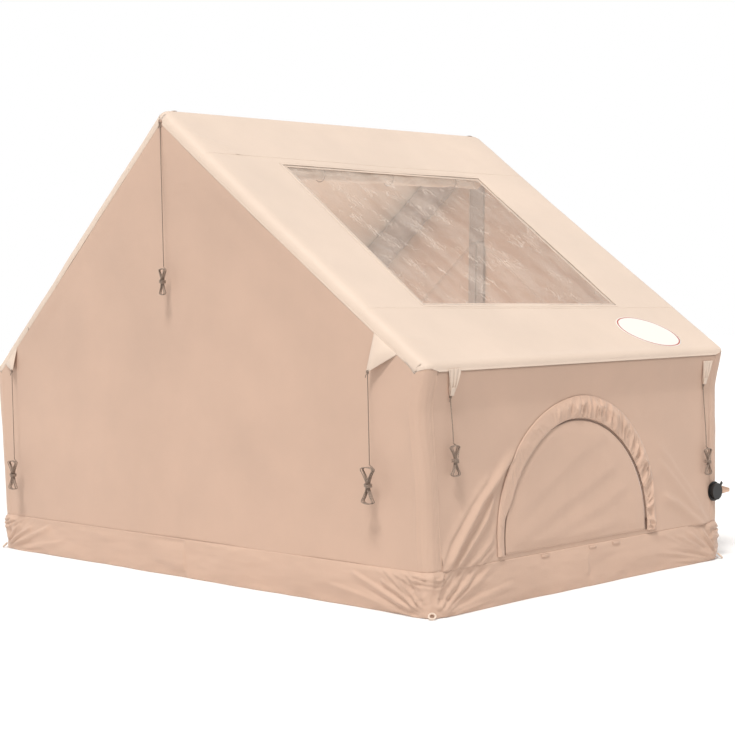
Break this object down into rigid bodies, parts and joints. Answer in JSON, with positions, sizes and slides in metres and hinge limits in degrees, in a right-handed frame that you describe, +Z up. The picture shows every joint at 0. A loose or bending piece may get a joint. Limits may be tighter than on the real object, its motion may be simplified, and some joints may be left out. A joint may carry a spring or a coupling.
{
  "type": "inflatable ridge tent",
  "caption": "Inflatable ridge tent with leaning air arches, air beams, a roof skylight, arched side windows, a zipped door and guy ropes stored in hanks.",
  "frame": {"origin": "middle of the ground sheet's underside", "axes": "+Z up, +X across the gables towards the roof with the skylight, +Y along the ridge towards the gable with the door"},
  "size_m": [3.079, 2.1272, 2.0763],
  "materials": {
    "cloth": "matte woven tent cloth",
    "roof_cloth": "coated woven roof cloth",
    "air_tube": "coated grey cloth",
    "rope": "braided cord",
    "film": "clear soft film",
    "valve": "moulded",
    "net": "fine net",
    "zip": "moulded coil on tape",
    "patch": "smooth sewn patch, bare"
  },
  "bodies": {
    "tent": {"ground_sheet": "air_tube", "ground_skirt": "cloth", "gable_rear": "cloth", "gable_front": "cloth", "side_wall_right": "cloth", "side_wall_left": "cloth", "roof_right": "roof_cloth", "roof_left": "roof_cloth", "arch_rear": "air_tube", "arch_front": "air_tube", "ridge_beam": "air_tube", "eave_beam_right": "air_tube", "eave_beam_left": "air_tube", "skylight_film": "film", "skylight_binding": "roof_cloth", "shade_roll": "roof_cloth", "label_patch": "patch", "window_net_right": "net", "window_net_left": "net", "window_zip_right": "zip", "window_zip_left": "zip", "window_flap_right": "cloth", "window_flap_left": "cloth", "valve_body": "valve", "ridge_tab_rear": "cloth", "ridge_tab_front": "cloth", "rope_right_rear": "rope", "rope_right_front": "rope", "rope_left_rear": "rope", "rope_left_front": "rope", "rope_rear_right": "rope", "rope_rear_left": "rope", "rope_front_right": "rope", "rope_front_left": "rope", "rope_rear_ridge": "rope", "rope_front_ridge": "rope", "hank_right_rear": "rope", "hank_right_front": "rope", "hank_left_rear": "rope", "hank_left_front": "rope", "hank_rear_right": "rope", "hank_rear_left": "rope", "hank_front_right": "rope", "hank_front_left": "rope", "hank_rear_ridge": "rope", "hank_front_ridge": "rope"},
    "cover_right": {"window_cover_right": "cloth"},
    "cover_left": {"window_cover_left": "cloth"},
    "window_pull_right": {"window_slider_right": "zip"},
    "window_pull_left": {"window_slider_left": "zip"},
    "leaf_right": {"door_leaf_right": "cloth", "door_zip_right": "zip"},
    "leaf_left": {"door_leaf_left": "cloth", "door_zip_left": "zip"},
    "door_pull": {"door_slider": "zip"},
    "cap": {"valve_cap": "valve"},
    "plunger": {"valve_plunger": "valve"},
    "flap": {"valve_flap": "cloth"}
  },
  "joints": [
    {"name": "cover_right_hinge", "type": "hinge", "parent": "tent", "child": "cover_right", "pos_m": [1.51512, -0.065, 0.19503], "axis": [0, 1, 0], "range_deg": [0, 110]},
    {"name": "cover_left_hinge", "type": "hinge", "parent": "tent", "child": "cover_left", "pos_m": [-1.51512, -0.065, 0.19503], "axis": [0, -1, 0], "range_deg": [0, 110]},
    {"name": "window_slider_right_track", "type": "hinge", "parent": "tent", "child": "window_pull_right", "pos_m": [1.51108, -0.065, 0.23997], "axis": [0.9999, 0, 0.0163], "range_deg": [0, 180]},
    {"name": "window_slider_left_track", "type": "hinge", "parent": "tent", "child": "window_pull_left", "pos_m": [-1.51108, -0.065, 0.23997], "axis": [0.9999, 0, -0.0163], "range_deg": [0, 180]},
    {"name": "leaf_right_hinge", "type": "hinge", "parent": "tent", "child": "leaf_right", "pos_m": [0.55, 0.99131, 0.79918], "axis": [0, -0.0413, -0.9991], "range_deg": [0, 150]},
    {"name": "leaf_left_hinge", "type": "hinge", "parent": "tent", "child": "leaf_left", "pos_m": [-0.55, 0.99131, 0.79918], "axis": [0, 0.0413, 0.9991], "range_deg": [0, 150]},
    {"name": "door_slider_track", "type": "slide", "parent": "leaf_right", "child": "door_pull", "axis": [0, 0.0413, 0.9991], "range_m": [0, 1.25]},
    {"name": "valve_cap_hinge", "type": "hinge", "parent": "tent", "child": "cap", "pos_m": [1.51891, 0.89244, 0.28147], "axis": [0, 0.7071, -0.7071], "range_deg": [0, 140]},
    {"name": "valve_plunger_slide", "type": "slide", "parent": "tent", "child": "plunger", "axis": [-1, 0, 0], "range_m": [0, 0.005], "stiffness_N_per_m": 300},
    {"name": "valve_flap_seam", "type": "hinge", "parent": "tent", "child": "flap", "pos_m": [1.44639, 0.96821, 0.314], "axis": [0, 0, 1], "range_deg": [-8, 60]}
  ]
}
